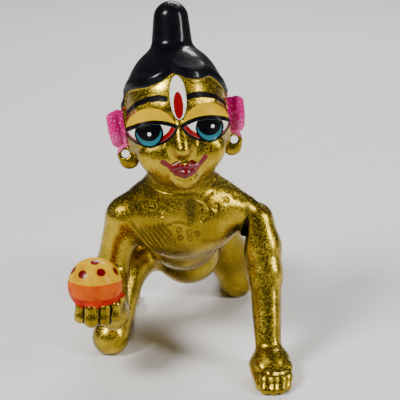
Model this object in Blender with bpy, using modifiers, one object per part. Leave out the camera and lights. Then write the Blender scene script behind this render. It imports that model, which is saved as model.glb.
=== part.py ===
"""A cast brass household idol: a crawling child who holds up a round sweet, built in Blender 4.5.

Metres, +Z up, facing -Y, origin on the ground at the middle of the figure's box.
The idol is one solid casting. Its form is a set of lobes (eggs and tapering limbs) that
melt into each other: the lobes are built as meshes, fused by a voxel remesh, and the fused
skin is then settled onto the exact blend of the same lobes. Places and radii of the lobes
are in the layout's units, just over a hundredth of the figure's height each.
"""

import math

import bmesh
import bpy
import numpy as np
from mathutils import Matrix, Vector

# Driving dimensions, in metres.
HEIGHT = 0.100
EAR_HOLE_DIAMETER = 0.0022

# How fine the skin is made.
VOXEL = HEIGHT / 130
SKIN_TRIANGLES = 9400
SETTLE_ROUNDS = 3
LOBE_POINTS = 420
FAR = 6.0
HOLE_SIDES = 20

# The layout's own measure: its height from the ground to the top of the knot, and where the
# part's origin lies in it. The ground cuts small flats on the hand, the knees and the toes.
UNITS_HIGH = 97.5
ORIGIN = np.array([-0.35, 3.5, 0.4])
PART = HEIGHT / UNITS_HIGH

# The head leans, looks up and turns a little.
HEAD_CENTRE = np.array([-1.6, -14.8, 68.2])
HEAD_SIZE = 1.024
HEAD_LEAN = math.radians(6.5)
HEAD_LIFT = math.radians(14)
HEAD_TURN = math.radians(3.5)

# Paint and metal: name, colour, roughness, metallic.
BRASS = ("brass", (0.50, 0.34, 0.07, 1), 0.22, 1.0)
HAIR_BLACK = ("hair_black", (0.006, 0.006, 0.008, 1), 0.25, 0.0)
EAR_PINK = ("ear_pink", (0.80, 0.03, 0.22, 1), 0.45, 0.0)
SWEET_YELLOW = ("sweet_yellow", (0.90, 0.46, 0.01, 1), 0.30, 0.0)
SWEET_ORANGE = ("sweet_orange", (0.80, 0.13, 0.01, 1), 0.30, 0.0)
FINISHES = (BRASS, HAIR_BLACK, EAR_PINK, SWEET_YELLOW, SWEET_ORANGE)


def head_axes():
    """The head's own right, forward and up directions, as the rows of a matrix."""
    forward = np.array([math.sin(HEAD_TURN) * math.cos(HEAD_LIFT),
                        -math.cos(HEAD_TURN) * math.cos(HEAD_LIFT),
                        math.sin(HEAD_LIFT)])
    level = np.array([math.cos(HEAD_TURN), math.sin(HEAD_TURN), 0.0])
    upright = np.cross(forward, level)
    right = math.cos(HEAD_LEAN) * level + math.sin(HEAD_LEAN) * upright
    up = math.cos(HEAD_LEAN) * upright - math.sin(HEAD_LEAN) * level
    return np.stack([right, forward, up])


HEAD = head_axes()


def on_head(right, forward, up):
    """A place given in the head's own measure and directions, from the head's centre."""
    return HEAD_CENTRE + HEAD_SIZE * np.array([right, forward, up]) @ HEAD


class Egg:
    """An ellipsoid: its centre, its three radii and its own axes."""

    def __init__(self, centre, radii, blend, axes=None):
        self.centre = np.array(centre, float)
        self.radii = np.array(radii, float)
        self.axes = np.eye(3) if axes is None else axes
        self.blend = blend

    def distance(self, points):
        local = (points - self.centre) @ self.axes.T
        near = np.linalg.norm(local / self.radii, axis=1)
        steep = np.linalg.norm(local / self.radii ** 2, axis=1)
        return near * (near - 1) / np.maximum(steep, 1e-9)

    def balls(self):
        return [(self.centre, self.radii)]


class Limb:
    """A tapering round limb: a ball at each end and the cone that touches both."""

    axes = np.eye(3)

    def __init__(self, start, start_radius, end, end_radius, blend):
        self.start = np.array(start, float)
        self.end = np.array(end, float)
        self.radii = (start_radius, end_radius)
        self.blend = blend

    def distance(self, points):
        first, last = self.radii
        axis = self.end - self.start
        length2 = axis @ axis
        drop = first - last
        slope = length2 - drop ** 2
        offset = points - self.start
        along = offset @ axis
        beyond = along - length2
        side2 = np.sum((offset * length2 - np.outer(along, axis)) ** 2, axis=1)
        tilt = np.sign(drop) * drop ** 2 * side2
        at_cone = (np.sqrt(side2 * slope / length2) + along * drop) / length2 - first
        at_end = np.sqrt(side2 + beyond ** 2 * length2) / length2 - last
        at_start = np.sqrt(side2 + along ** 2 * length2) / length2 - first
        past_end = np.sign(beyond) * slope * beyond ** 2 * length2 > tilt
        before_start = np.sign(along) * slope * along ** 2 * length2 < tilt
        return np.where(past_end, at_end, np.where(before_start, at_start, at_cone))

    def balls(self):
        return [(self.start, (self.radii[0],) * 3), (self.end, (self.radii[1],) * 3)]


def head_egg(right, forward, up, radii, blend):
    return Egg(on_head(right, forward, up), HEAD_SIZE * np.array(radii), blend, HEAD)


def head_limb(start, start_radius, end, end_radius, blend):
    return Limb(on_head(*start), HEAD_SIZE * start_radius, on_head(*end), HEAD_SIZE * end_radius, blend)


def torso_lobes():
    lobes = [
        Egg((0, -12, 40.3), (16.2, 12.4, 12.6), 0),
        Egg((0, 1, 32), (11.6, 15, 13.2), 2.5),
        Egg((0, 14, 25.5), (11, 12, 11.5), 4),
        Egg((1, 8, 20), (9.5, 10, 9), 1.5),
        Limb((6, -14, 46.6), 5, (16.6, -13, 41.6), 4.3, 4),
        Limb((-6, -14, 45.8), 4.8, (-14.8, -13, 40), 5, 4),
    ]
    for side, back in ((1, 24), (-1, 22)):
        lobes.append(Egg((side * 6.4, back, 26.5), (8.4, 8.8, 9.2), 4))
    return lobes


def left_arm_lobes():
    """The straight arm that carries the figure, down to the wrist."""
    return [
        Limb((20.0, -13, 38.4), 5.1, (21.9, -15.3, 31.5), 4.95, 3),
        Limb((21.9, -15.3, 31.5), 4.95, (22.6, -18.5, 25), 4.5, 2),
        Limb((22.6, -18.5, 25), 4.5, (23.2, -28, 9), 3.6, 2.5),
    ]


def left_hand_lobes():
    """The hand flat on the ground, with its fingers forward."""
    lobes = [
        Egg((23.9, -31.6, 4.5), (5.4, 6.4, 4.6), 2),
        Limb((21.4, -35.6, 5), 1.7, (27.8, -35.2, 4.8), 1.6, 1),
    ]
    fingers = ((22.1, 1.5, -42.8), (24.3, 1.45, -43.2), (26.4, 1.35, -42.6), (28.0, 1.25, -41.2))
    for across, radius, tip in fingers:
        middle = (across, tip + 3, 3.6)
        lobes.append(Limb((across, -35, 5.0), radius, middle, radius, 1))
        lobes.append(Limb(middle, radius, (across - 0.2, tip + 0.9, 1.6), radius * 0.9, 0.8))
    lobes.append(Limb((20, -31.5, 3.6), 2.2, (20.9, -40, 1.8), 1.5, 0.8))
    return lobes


def right_arm_lobes():
    """The bent arm that holds the sweet, down to the wrist."""
    return [
        Limb((-16.2, -13, 39.3), 5.1, (-20, -13, 23.5), 4.5, 3),
        Limb((-20, -13, 23.5), 4.5, (-18.6, -27.5, 16.6), 4.2, 2.5),
    ]


SWEET_CENTRE = np.array([-22.9, -33.5, 28.2])
SWEET_RADIUS = 7.2


def right_hand_lobes():
    """The cupped hand: a palm below the sweet, four fingers up its front and the thumb."""
    lobes = [Egg((-22.4, -31.5, 20.4), (5.8, 6.8, 3.9), 2)]
    fingers = ((-26.5, 1.5, -38.2), (-23.5, 2.05, -39.6), (-20.0, 1.7, -39.3), (-17.3, 1.5, -37.6))
    for across, radius, front in fingers:
        lobes.append(Limb((across, front + 2.4, 20), radius, (across, front, 21), radius, 1))
        lobes.append(Limb((across, front, 21), radius, (across, front + 0.3, 24), radius * 0.9, 0.8))
    lobes.append(Limb((-17.2, -29, 19), 2.3, (-16.2, -33.5, 24.5), 1.4, 1.2))
    return lobes


def leg_lobes(hip, middle, knee, ankle, foot_length):
    """A kneeling leg: the thigh down to the knee, the shin along the ground and the foot."""
    heading = np.array([ankle[0] - knee[0], ankle[1] - knee[1], 0.0])
    heading /= np.linalg.norm(heading)
    sideways = np.array([heading[1], -heading[0], 0.0])
    calf = 0.6 * np.array(knee) + 0.4 * np.array(ankle) + (0, 0, 0.5)
    toe_root = np.array(ankle) + heading * foot_length * 0.62 + (0, 0, -1.6)
    lobes = [
        Limb(hip, 7.8, middle, 6.1, 3.5),
        Limb(middle, 6.1, knee, 4.9, 3),
        Limb(knee, 4.9, calf, 4.6, 1.2),
        Limb(calf, 4.6, ankle, 3.2, 2),
        Limb(ankle, 3.4, toe_root, 2.6, 1.2),
    ]
    for step in range(5):
        across = (step - 2) * 1.15
        radius = 1.05 + 0.12 * abs(step - 2)
        toe = toe_root + heading * (2.5 - 0.25 * abs(step - 2)) + sideways * across
        lobes.append(Limb(toe_root + sideways * across * 0.7, 1.6, toe, radius, 0.3))
    return lobes


def head_lobes():
    """The head with its face, ears and topknot, in the head's own directions."""
    lobes = [
        head_egg(0.3, 0, 3, (13.0, 13.8, 15.2), 0),
        head_egg(0, 2.6, -8.4, (10.4, 10.6, 9.8), 3),
        head_egg(0.7, -1.6, 7.3, (11.3, 12.8, 11.6), 1),
        head_egg(0, 10.6, -15.0, (3.2, 2.8, 2.6), 2),
        head_limb((1.2, -1.5, 17), 5.0, (2.0, -1.5, 25.6), 4.05, 1.6),
    ]
    for side in (1, -1):
        lobes += [
            head_egg(side * 6.0, 8.2, -8.2, (5.2, 4.2, 4.6), 3),
            head_egg(side * 9.0, 2.2, -3.4, (4.6, 6.4, 6.0), 2),
            head_limb((side * 2.4, 12.2, 2.8), 1, (side * 9.0, 9.2, 3.6), 0.8, 3),
            head_egg(side * 6.8, 8.4, -1.8, (5.6, 3.9, 4.2), 2),
            head_limb((side * 16.5, -1.2, 2), 1.6, (side * 16, -0.8, -4), 1.5, 0.8),
            head_egg(side * 14.9, -1.2, -0.8, (3, 1, 5), 0.6),
            head_egg(side * 14.2, -0.6, -7.4, (2.3, 1.4, 2.4), 0.8),
            head_egg(side * 13.5, -0.6, -9.4, (2.5, 1.4, 2.2), 0.8),
        ]
    return lobes


def nose_and_mouth_lobes():
    lobes = [head_limb((0, 12.6, 0.5), 0.8, (0, 15.2, -7.7), 1.8, 1.5)]
    for side in (1, -1):
        lobes += [
            head_limb((side * 0.6, 12.4, -1), 0.8, (side * 2.7, 12.4, -8.2), 1.8, 1.2),
            head_limb((side * 0.7, 13.4, -11.5), 0.95, (side * 3.1, 12.3, -11.9), 0.6, 0.3),
            head_limb((0, 13.1, -13.4), 1.15, (side * 2.2, 12.4, -12.9), 0.85, 0.3),
        ]
    return lobes


NECK = [Limb((0, -13.5, 46), 9.4, (-1, -14.6, 56), 8.6, 2)]
SWEET = [Egg(SWEET_CENTRE, (SWEET_RADIUS,) * 3, 0.4)]
LEFT_LEG = leg_lobes((8.6, 18, 25), (13, 20.8, 14.5), (16, 22, 4.6), (14.8, 41, 3.9), 10)
RIGHT_LEG = leg_lobes((-8.4, 10, 23.4), (-16.6, -1, 20.3), (-20.5, -16.8, 4.6), (-17.9, 9, 3.6), 9.5)

# Each group is melted together first, and joins what stands before it over the width given.
HEAD_LOBES = head_lobes()
GROUPS = (
    (0, torso_lobes()),
    (3, NECK),
    (1.2, left_arm_lobes()),
    (1.5, left_hand_lobes()),
    (3, right_arm_lobes()),
    (1.5, right_hand_lobes()),
    (0.4, SWEET),
    (3, LEFT_LEG),
    (3, RIGHT_LEG),
    (1.5, HEAD_LOBES),
    (0.8, nose_and_mouth_lobes()),
)

# The narrow gap between the straight arm and the chest, which leans a little outwards.
SLIT_LEAN = math.radians(7)
SLIT_AXES = np.array([[math.cos(SLIT_LEAN), 0, -math.sin(SLIT_LEAN)], [0, 1, 0],
                      [math.sin(SLIT_LEAN), 0, math.cos(SLIT_LEAN)]])
ARMPIT_SLIT = Egg((16.9, -15, 35), (0.85, 5.5, 6.8), 0, SLIT_AXES)


def melt(first, second, width):
    """The smooth union of two distance fields: a fillet of about this width."""
    if width <= 0:
        return np.minimum(first, second)
    overlap = np.maximum(width - np.abs(first - second), 0) / width
    return np.minimum(first, second) - overlap ** 2 * width / 4


# The hair's lower edge: its height on the head at angles round from the forehead, in degrees.
HAIR_EDGE_ANGLES = np.radians([0, 8, 21, 30, 39, 52, 66, 80, 96, 110, 130, 180])
HAIR_EDGE_HEIGHTS = np.array([11.4, 10.6, 8.8, 8.9, 9.5, 8.0, 5.6, 3.4, 1.5, -7, -11.5, -13])
HAIR_RISE = 0.55


def smooth_step(value, low, high):
    share = np.clip((value - low) / (high - low), 0, 1)
    return share * share * (3 - 2 * share)


def head_places(points):
    return (points - HEAD_CENTRE) @ HEAD.T / HEAD_SIZE


def above_hair_edge(points):
    """How far a place on the head lies above the hair's edge."""
    local = head_places(points)
    angle = np.abs(np.arctan2(local[:, 0], local[:, 1] + 1))
    return local[:, 2] - np.interp(angle, HAIR_EDGE_ANGLES, HAIR_EDGE_HEIGHTS)


def on_ear(points):
    local = head_places(points)
    return (np.abs(local[:, 0]) > 13.4) & (np.abs(local[:, 2] + 3.5) < 8.5)


def hair_relief(points):
    """How far the hair stands proud of the brow."""
    rise = smooth_step(above_hair_edge(points), -0.35, 0.35) * HAIR_RISE
    return np.where(on_ear(points), 0, rise)


def lobe_field(lobe, points):
    """A lobe's distance, exact near the lobe and no more than a bound far from it."""
    ends = np.array([centre for centre, _ in lobe.balls()])
    reach = max(np.linalg.norm(ends[0] - ends[-1]) / 2 + max(lobe.radii), 1)
    field = np.linalg.norm(points - ends.mean(axis=0), axis=1) - reach
    close = field < FAR
    field[close] = lobe.distance(points[close])
    return field


def melted(lobes, points):
    """One group's field: its lobes joined in turn, each over its own width."""
    field = None
    for lobe in lobes:
        near = lobe_field(lobe, points)
        field = near if field is None else melt(field, near, lobe.blend)
    return field


def form(points):
    """Signed distance, in the layout's units, from the idol's surface."""
    whole = None
    for width, lobes in GROUPS:
        field = melted(lobes, points)
        if lobes is HEAD_LOBES:
            field = field - hair_relief(points)
        whole = field if whole is None else melt(whole, field, width)
    return np.maximum(whole, -lobe_field(ARMPIT_SLIT, points))


def ball_points(centre, radii, axes):
    """Points spread evenly over an ellipsoid."""
    step = np.arange(LOBE_POINTS) + 0.5
    height = 1 - 2 * step / LOBE_POINTS
    turn = step * math.pi * (3 - math.sqrt(5))
    across = np.sqrt(1 - height ** 2)
    unit = np.stack([across * np.cos(turn), across * np.sin(turn), height], axis=1)
    return centre + (unit * radii) @ axes


def lobe_mesh(lobe):
    """A lobe as a closed mesh: the hull of the points on its balls."""
    made = bmesh.new()
    for centre, radii in lobe.balls():
        for place in ball_points(centre, radii, lobe.axes):
            made.verts.new(place)
    hull = bmesh.ops.convex_hull(made, input=made.verts[:])
    inner = [v for v in hull["geom_interior"] if isinstance(v, bmesh.types.BMVert)]
    bmesh.ops.delete(made, geom=inner, context="VERTS")
    return made


def evaluated_copy(obj, name):
    """The object's mesh as its modifiers leave it."""
    graph = bpy.context.evaluated_depsgraph_get()
    mesh = bpy.data.meshes.new_from_object(obj.evaluated_get(graph))
    mesh.name = name
    return mesh


def new_object(name, mesh, collection):
    obj = bpy.data.objects.new(name, mesh)
    collection.objects.link(obj)
    return obj


def with_modifier(mesh, kind, **settings):
    """The mesh as one modifier changes it."""
    helper = new_object("helper", mesh, bpy.context.scene.collection)
    modifier = helper.modifiers.new(kind.title(), kind)
    for key, value in settings.items():
        setattr(modifier, key, value)
    bpy.context.view_layer.update()
    changed = evaluated_copy(helper, "changed")
    bpy.data.objects.remove(helper)
    return changed


def mesh_points(mesh):
    places = np.empty(len(mesh.vertices) * 3, np.float32)
    mesh.vertices.foreach_get("co", places)
    return places.reshape(-1, 3).astype(float)


def settle(mesh, rounds):
    """Moves the skin's points onto the form, and evens them out between moves."""
    points = mesh_points(mesh)
    ends = np.empty(len(mesh.edges) * 2, np.int32)
    mesh.edges.foreach_get("vertices", ends)
    ends = ends.reshape(-1, 2)
    count = np.bincount(ends.ravel(), minlength=len(points))[:, None]
    nudge = 0.02
    for turn in range(rounds):
        if turn:
            total = np.zeros_like(points)
            np.add.at(total, ends[:, 0], points[ends[:, 1]])
            np.add.at(total, ends[:, 1], points[ends[:, 0]])
            points = 0.5 * points + 0.5 * total / np.maximum(count, 1)
        for _ in range(3):
            off = form(points)
            slope = np.stack([form(points + nudge * step) - off for step in np.eye(3)], axis=1)
            slope /= nudge
            steep = np.maximum(np.sum(slope ** 2, axis=1), 0.25)
            move = slope * (off / steep)[:, None]
            points -= np.clip(move, -1.2, 1.2)
    mesh.vertices.foreach_set("co", points.astype(np.float32).ravel())
    mesh.update()


def slit_cutter():
    made = lobe_mesh(ARMPIT_SLIT)
    mesh = bpy.data.meshes.new("armpit_slit")
    made.to_mesh(mesh)
    made.free()
    return new_object("armpit_slit", mesh, bpy.context.scene.collection)


def fused_skin():
    """All lobes joined and remeshed to one closed skin, in hundredths of the height."""
    joined = bmesh.new()
    for _, lobes in GROUPS:
        for lobe in lobes:
            made = lobe_mesh(lobe)
            scrap = bpy.data.meshes.new("lobe")
            made.to_mesh(scrap)
            made.free()
            joined.from_mesh(scrap)
            bpy.data.meshes.remove(scrap)
    mesh = bpy.data.meshes.new("lobes")
    joined.to_mesh(mesh)
    joined.free()
    mesh = with_modifier(mesh, "REMESH", mode="VOXEL", voxel_size=VOXEL / PART)
    slit = slit_cutter()
    mesh = with_modifier(mesh, "BOOLEAN", operation="DIFFERENCE", solver="EXACT", object=slit)
    bpy.data.objects.remove(slit)
    return with_modifier(mesh, "REMESH", mode="VOXEL", voxel_size=VOXEL / PART)


def filed_flat(mesh):
    """Cuts the skin off level at the ground and closes the cut with flat faces."""
    made = bmesh.new()
    made.from_mesh(mesh)
    everything = made.verts[:] + made.edges[:] + made.faces[:]
    cut = bmesh.ops.bisect_plane(made, geom=everything, dist=1e-3, plane_co=(0, 0, ORIGIN[2]),
                                 plane_no=(0, 0, -1), clear_outer=True)
    rims = [e for e in cut["geom_cut"] if isinstance(e, bmesh.types.BMEdge)]
    bmesh.ops.holes_fill(made, edges=rims, sides=0)
    bmesh.ops.triangulate(made, faces=made.faces[:])
    made.to_mesh(mesh)
    made.free()


def face_middles(mesh):
    middles = np.empty(len(mesh.polygons) * 3, np.float32)
    mesh.polygons.foreach_get("center", middles)
    return middles.reshape(-1, 3).astype(float)


def paint(mesh):
    """Gives each face the finish of the place it lies on."""
    middles = face_middles(mesh)
    from_sweet = np.linalg.norm(middles - SWEET_CENTRE, axis=1)
    on_head_skin = melted(HEAD_LOBES, middles) < 1
    finish = np.zeros(len(middles), np.int32)
    finish[on_head_skin & (above_hair_edge(middles) > 0) & ~on_ear(middles)] = 1
    finish[on_head_skin & on_ear(middles) & (head_places(middles)[:, 2] > -7)] = 2
    on_sweet = (from_sweet < SWEET_RADIUS + 0.25) & (middles[:, 2] > 22)
    finish[on_sweet & (middles[:, 2] > 27.5)] = 3
    finish[on_sweet & (middles[:, 2] <= 27.5)] = 4
    for name, colour, roughness, metallic in FINISHES:
        mesh.materials.append(make_material(name, colour, roughness, metallic))
    mesh.polygons.foreach_set("material_index", finish)


def make_material(name, colour, roughness, metallic):
    material = bpy.data.materials.new(name)
    material.use_nodes = True
    shader = material.node_tree.nodes["Principled BSDF"]
    shader.inputs["Base Color"].default_value = colour
    shader.inputs["Roughness"].default_value = roughness
    shader.inputs["Metallic"].default_value = metallic
    material.diffuse_color = colour
    return material


def ear_drill(side, collection):
    """The cutter for the hole through one ear lobe, front to back."""
    centre = (on_head(side * 14.3, -0.6, -7.5) - ORIGIN) * PART
    made = bmesh.new()
    bmesh.ops.create_cone(made, cap_ends=True, segments=HOLE_SIDES, radius1=EAR_HOLE_DIAMETER / 2,
                          radius2=EAR_HOLE_DIAMETER / 2, depth=8 * PART)
    mesh = bpy.data.meshes.new("ear_drill")
    made.to_mesh(mesh)
    made.free()
    drill = new_object("ear_drill_left" if side > 0 else "ear_drill_right", mesh, collection)
    drill.rotation_euler = Vector(-HEAD[1]).to_track_quat("Z", "Y").to_euler()
    drill.location = centre
    drill.hide_render = True
    drill.display_type = "WIRE"
    return drill


def main():
    for obj in list(bpy.data.objects):
        bpy.data.objects.remove(obj)
    parts = bpy.data.collections.new("crawling_idol")
    cutters = bpy.data.collections.new("cutters")
    for collection in (parts, cutters):
        bpy.context.scene.collection.children.link(collection)

    skin = fused_skin()
    settle(skin, SETTLE_ROUNDS)
    skin = with_modifier(skin, "TRIANGULATE")
    skin = with_modifier(skin, "DECIMATE", ratio=SKIN_TRIANGLES / len(skin.polygons))
    filed_flat(skin)
    paint(skin)
    skin.transform(Matrix.Scale(PART, 4) @ Matrix.Translation(Vector(-ORIGIN)))
    skin.name = "idol"
    idol = new_object("idol", skin, parts)
    for side in (1, -1):
        drill = idol.modifiers.new("EarHole", "BOOLEAN")
        drill.operation = "DIFFERENCE"
        drill.solver = "EXACT"
        drill.object = ear_drill(side, cutters)


main()
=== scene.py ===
"""Looks for a cast brass household idol: a crawling child who holds up a round sweet.

The figure is one casting, so it is one skin here: the solid's lobes again, at a finer step,
with the hair's roll, the finger seams and the neck ring that the solid is too coarse for.
Paint and engraving are laid on as fields on the skin's points. Shapes are in the layout's
units, just over a hundredth of the figure's height each; the frame is in metres.
"""

import math

import bmesh
import bpy
import numpy as np
from mathutils import Matrix, Vector


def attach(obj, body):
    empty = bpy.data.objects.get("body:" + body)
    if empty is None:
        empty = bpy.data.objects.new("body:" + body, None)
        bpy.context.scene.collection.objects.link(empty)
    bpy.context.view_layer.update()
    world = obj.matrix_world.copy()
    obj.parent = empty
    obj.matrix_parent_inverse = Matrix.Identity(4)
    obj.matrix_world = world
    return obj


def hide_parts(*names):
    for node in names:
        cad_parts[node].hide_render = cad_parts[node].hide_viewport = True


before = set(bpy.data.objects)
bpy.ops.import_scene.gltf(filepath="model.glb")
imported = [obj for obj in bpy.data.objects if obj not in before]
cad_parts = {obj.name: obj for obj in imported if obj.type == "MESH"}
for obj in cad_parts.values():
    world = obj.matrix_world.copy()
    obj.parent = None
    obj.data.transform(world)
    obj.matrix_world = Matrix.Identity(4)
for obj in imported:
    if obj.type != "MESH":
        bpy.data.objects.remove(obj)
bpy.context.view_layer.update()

# The layout's measure and origin, as in the solid.
HEIGHT = 0.100
UNITS_HIGH = 97.5
PART = HEIGHT / UNITS_HIGH
ORIGIN = np.array([-0.35, 3.5, 0.4])
EAR_HOLE_RADIUS = 1.1
DRILL_LENGTH = 6

# How fine the skin is made, and from how far off a lobe's distance is only a bound.
VOXEL = 0.78
LOBE_POINTS = 420
FAR = 6.0

# The head leans, looks up and turns a little.
HEAD_CENTRE = np.array([-1.6, -14.8, 68.2])
HEAD_SIZE = 1.024
HEAD_LEAN = math.radians(6.5)
HEAD_LIFT = math.radians(14)
HEAD_TURN = math.radians(3.5)

# The photograph's view of the layout: where it looks, from how far and how high.
VIEW_TARGET = np.array([4.7, -12.0, 44.0])
VIEW_DISTANCE = 330
VIEW_HEIGHT = math.radians(20)
FOCAL_PIXELS = 1200
FRAME_PIXELS = 400
SENSOR_MM = 36

# What comes this near the ground, in metres, is set flat on it.
GROUND_TOUCH = 0.00002


def in_metres(place):
    return (np.array(place, float) - ORIGIN) * PART


# The figure's lobes.


def head_axes():
    """The head's own right, forward and up directions, as the rows of a matrix."""
    forward = np.array([math.sin(HEAD_TURN) * math.cos(HEAD_LIFT),
                        -math.cos(HEAD_TURN) * math.cos(HEAD_LIFT),
                        math.sin(HEAD_LIFT)])
    level = np.array([math.cos(HEAD_TURN), math.sin(HEAD_TURN), 0.0])
    upright = np.cross(forward, level)
    right = math.cos(HEAD_LEAN) * level + math.sin(HEAD_LEAN) * upright
    up = math.cos(HEAD_LEAN) * upright - math.sin(HEAD_LEAN) * level
    return np.stack([right, forward, up])


HEAD = head_axes()


def on_head(right, forward, up):
    """A place given in the head's own measure and directions, from the head's centre."""
    return HEAD_CENTRE + HEAD_SIZE * np.array([right, forward, up]) @ HEAD


def head_places(points):
    return (points - HEAD_CENTRE) @ HEAD.T / HEAD_SIZE


class Egg:
    """An ellipsoid: its centre, its three radii and its own axes."""

    def __init__(self, centre, radii, blend, axes=None):
        self.centre = np.array(centre, float)
        self.radii = np.array(radii, float)
        self.axes = np.eye(3) if axes is None else axes
        self.blend = blend

    def distance(self, points):
        local = (points - self.centre) @ self.axes.T
        near = np.linalg.norm(local / self.radii, axis=1)
        steep = np.linalg.norm(local / self.radii ** 2, axis=1)
        return near * (near - 1) / np.maximum(steep, 1e-9)

    def balls(self):
        return [(self.centre, self.radii)]


class Limb:
    """A tapering round limb: a ball at each end and the cone that touches both."""

    axes = np.eye(3)

    def __init__(self, start, start_radius, end, end_radius, blend):
        self.start = np.array(start, float)
        self.end = np.array(end, float)
        self.radii = (start_radius, end_radius)
        self.blend = blend

    def distance(self, points):
        first, last = self.radii
        axis = self.end - self.start
        length2 = axis @ axis
        drop = first - last
        slope = length2 - drop ** 2
        offset = points - self.start
        along = offset @ axis
        beyond = along - length2
        side2 = np.sum((offset * length2 - np.outer(along, axis)) ** 2, axis=1)
        tilt = np.sign(drop) * drop ** 2 * side2
        at_cone = (np.sqrt(side2 * slope / length2) + along * drop) / length2 - first
        at_end = np.sqrt(side2 + beyond ** 2 * length2) / length2 - last
        at_start = np.sqrt(side2 + along ** 2 * length2) / length2 - first
        past_end = np.sign(beyond) * slope * beyond ** 2 * length2 > tilt
        before_start = np.sign(along) * slope * along ** 2 * length2 < tilt
        return np.where(past_end, at_end, np.where(before_start, at_start, at_cone))

    def balls(self):
        return [(self.start, (self.radii[0],) * 3), (self.end, (self.radii[1],) * 3)]


def head_egg(right, forward, up, radii, blend):
    return Egg(on_head(right, forward, up), HEAD_SIZE * np.array(radii), blend, HEAD)


def head_limb(start, start_radius, end, end_radius, blend):
    return Limb(on_head(*start), HEAD_SIZE * start_radius, on_head(*end), HEAD_SIZE * end_radius, blend)


def torso_lobes():
    lobes = [
        Egg((0, -12, 40.3), (16.2, 12.4, 12.6), 0),
        Egg((0, 1, 32), (11.6, 15, 13.2), 2.5),
        Egg((0, 14, 25.5), (11, 12, 11.5), 4),
        Egg((1, 8, 20), (9.5, 10, 9), 1.5),
        Limb((6, -14, 46.6), 5, (16.6, -13, 41.6), 4.3, 4),
        Limb((-6, -14, 45.8), 4.8, (-14.8, -13, 40), 5, 4),
    ]
    for side, back in ((1, 24), (-1, 22)):
        lobes.append(Egg((side * 6.4, back, 26.5), (8.4, 8.8, 9.2), 4))
    return lobes


def left_arm_lobes():
    """The straight arm that carries the figure, down to the wrist."""
    return [
        Limb((20.0, -13, 38.4), 5.1, (21.9, -15.3, 31.5), 4.95, 3),
        Limb((21.9, -15.3, 31.5), 4.95, (22.6, -18.5, 25), 4.5, 2),
        Limb((22.6, -18.5, 25), 4.5, (23.2, -28, 9), 3.6, 2.5),
    ]


def left_hand_lobes():
    """The hand flat on the ground, with its fingers forward."""
    lobes = [
        Egg((23.9, -31.6, 4.5), (5.4, 6.4, 4.6), 2),
        Limb((21.4, -35.6, 5), 1.7, (27.8, -35.2, 4.8), 1.6, 1),
    ]
    fingers = ((22.1, 1.5, -42.8), (24.3, 1.45, -43.2), (26.4, 1.35, -42.6), (28.0, 1.25, -41.2))
    for across, radius, tip in fingers:
        middle = (across, tip + 3, 3.6)
        lobes.append(Limb((across, -35, 5.0), radius, middle, radius, 1))
        lobes.append(Limb(middle, radius, (across - 0.2, tip + 0.9, 1.6), radius * 0.9, 0.8))
    lobes.append(Limb((20, -31.5, 3.6), 2.2, (20.9, -40, 1.8), 1.5, 0.8))
    return lobes


def right_arm_lobes():
    """The bent arm that holds the sweet, down to the wrist."""
    return [
        Limb((-16.2, -13, 39.3), 5.1, (-20, -13, 23.5), 4.5, 3),
        Limb((-20, -13, 23.5), 4.5, (-18.6, -27.5, 16.6), 4.2, 2.5),
    ]


SWEET_CENTRE = np.array([-22.9, -33.5, 28.2])
SWEET_RADIUS = 7.2
RIGHT_FINGERS = ((-26.5, 1.5, -38.2), (-23.5, 2.05, -39.6), (-20.0, 1.7, -39.3), (-17.3, 1.5, -37.6))


def right_hand_lobes():
    """The cupped hand: a palm below the sweet, four fingers up its front and the thumb."""
    lobes = [Egg((-22.4, -31.5, 20.4), (5.8, 6.8, 3.9), 2)]
    for across, radius, front in RIGHT_FINGERS:
        lobes.append(Limb((across, front + 2.4, 20), radius, (across, front, 21), radius, 1))
        lobes.append(Limb((across, front, 21), radius, (across, front + 0.3, 24), radius * 0.9, 0.8))
    lobes.append(Limb((-17.2, -29, 19), 2.3, (-16.2, -33.5, 24.5), 1.4, 1.2))
    return lobes


def leg_lobes(hip, middle, knee, ankle, foot_length):
    """A kneeling leg: the thigh down to the knee, the shin along the ground and the foot."""
    heading = np.array([ankle[0] - knee[0], ankle[1] - knee[1], 0.0])
    heading /= np.linalg.norm(heading)
    sideways = np.array([heading[1], -heading[0], 0.0])
    calf = 0.6 * np.array(knee) + 0.4 * np.array(ankle) + (0, 0, 0.5)
    toe_root = np.array(ankle) + heading * foot_length * 0.62 + (0, 0, -1.6)
    lobes = [
        Limb(hip, 7.8, middle, 6.1, 3.5),
        Limb(middle, 6.1, knee, 4.9, 3),
        Limb(knee, 4.9, calf, 4.6, 1.2),
        Limb(calf, 4.6, ankle, 3.2, 2),
        Limb(ankle, 3.4, toe_root, 2.6, 1.2),
    ]
    for step in range(5):
        across = (step - 2) * 1.15
        radius = 1.05 + 0.12 * abs(step - 2)
        toe = toe_root + heading * (2.5 - 0.25 * abs(step - 2)) + sideways * across
        lobes.append(Limb(toe_root + sideways * across * 0.7, 1.6, toe, radius, 0.3))
    return lobes


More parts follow.
